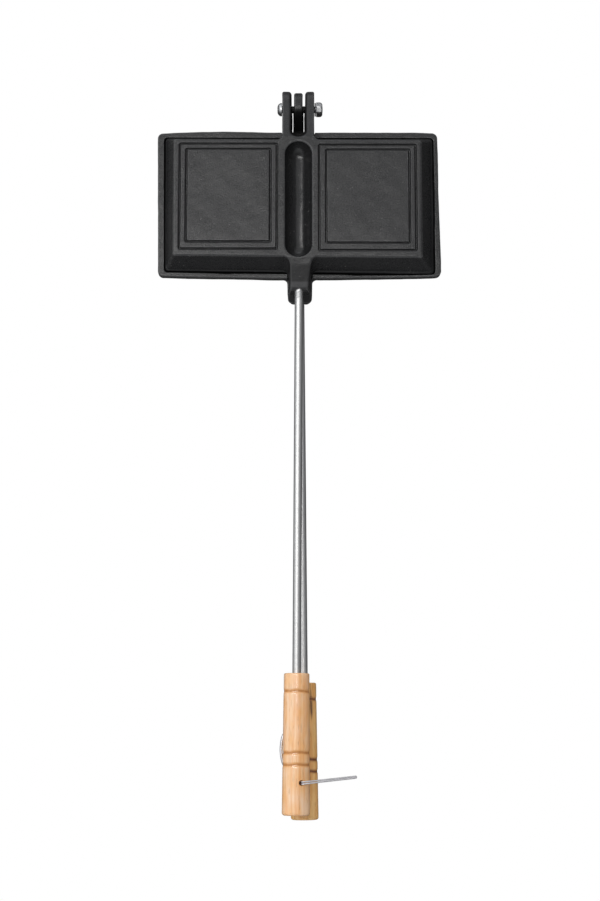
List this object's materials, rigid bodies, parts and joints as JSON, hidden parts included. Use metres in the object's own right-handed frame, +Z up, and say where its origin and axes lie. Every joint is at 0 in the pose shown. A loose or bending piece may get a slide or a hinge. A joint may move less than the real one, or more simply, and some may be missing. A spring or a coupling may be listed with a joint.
{
  "type": "double sandwich iron",
  "caption": "Cast-iron double sandwich iron lying flat: two hinged halves with pockets either side of a gutter spine, steel rods, turned wooden grips and a wire latch loop.",
  "frame": {"origin": "middle of the bounding box at the underside, on the surface the closed iron lies on", "axes": "+Y along the rods towards the hinge, +X across the two pockets, +Z up through the closed halves"},
  "size_m": [0.2418, 0.616, 0.0496],
  "materials": {
    "cast_iron": "seasoned, fine sand-cast grain, satin",
    "rod_steel": "bright drawn and plated",
    "zinc_hardware": "zinc plated",
    "wire": "galvanised wire",
    "grip_wood": "clear lacquered pale wood with scorched grooves"
  },
  "bodies": {
    "lower_half": {"lower_casting": "cast_iron", "lower_rod": "rod_steel", "lower_rod_pin": "zinc_hardware", "lower_grip": "grip_wood", "grip_keeper": "wire"},
    "upper_half": {"upper_casting": "cast_iron", "upper_rod": "rod_steel", "upper_rod_pin": "zinc_hardware", "upper_grip": "grip_wood", "hinge_bolt": "zinc_hardware", "hinge_washer": "zinc_hardware", "hinge_nut": "zinc_hardware"},
    "latch": {"latch_loop": "wire"}
  },
  "joints": [
    {"name": "plate_hinge", "type": "hinge", "parent": "lower_half", "child": "upper_half", "pos_m": [-0.00031, 0.29285, 0.0245], "axis": [-1, 0, 0], "range_deg": [0, 180]},
    {"name": "loop_swing", "type": "hinge", "parent": "upper_half", "child": "latch", "pos_m": [-0.00205, -0.27715, 0.0376], "axis": [0.3987, -0.0022, 0.9171], "continuous": true}
  ]
}
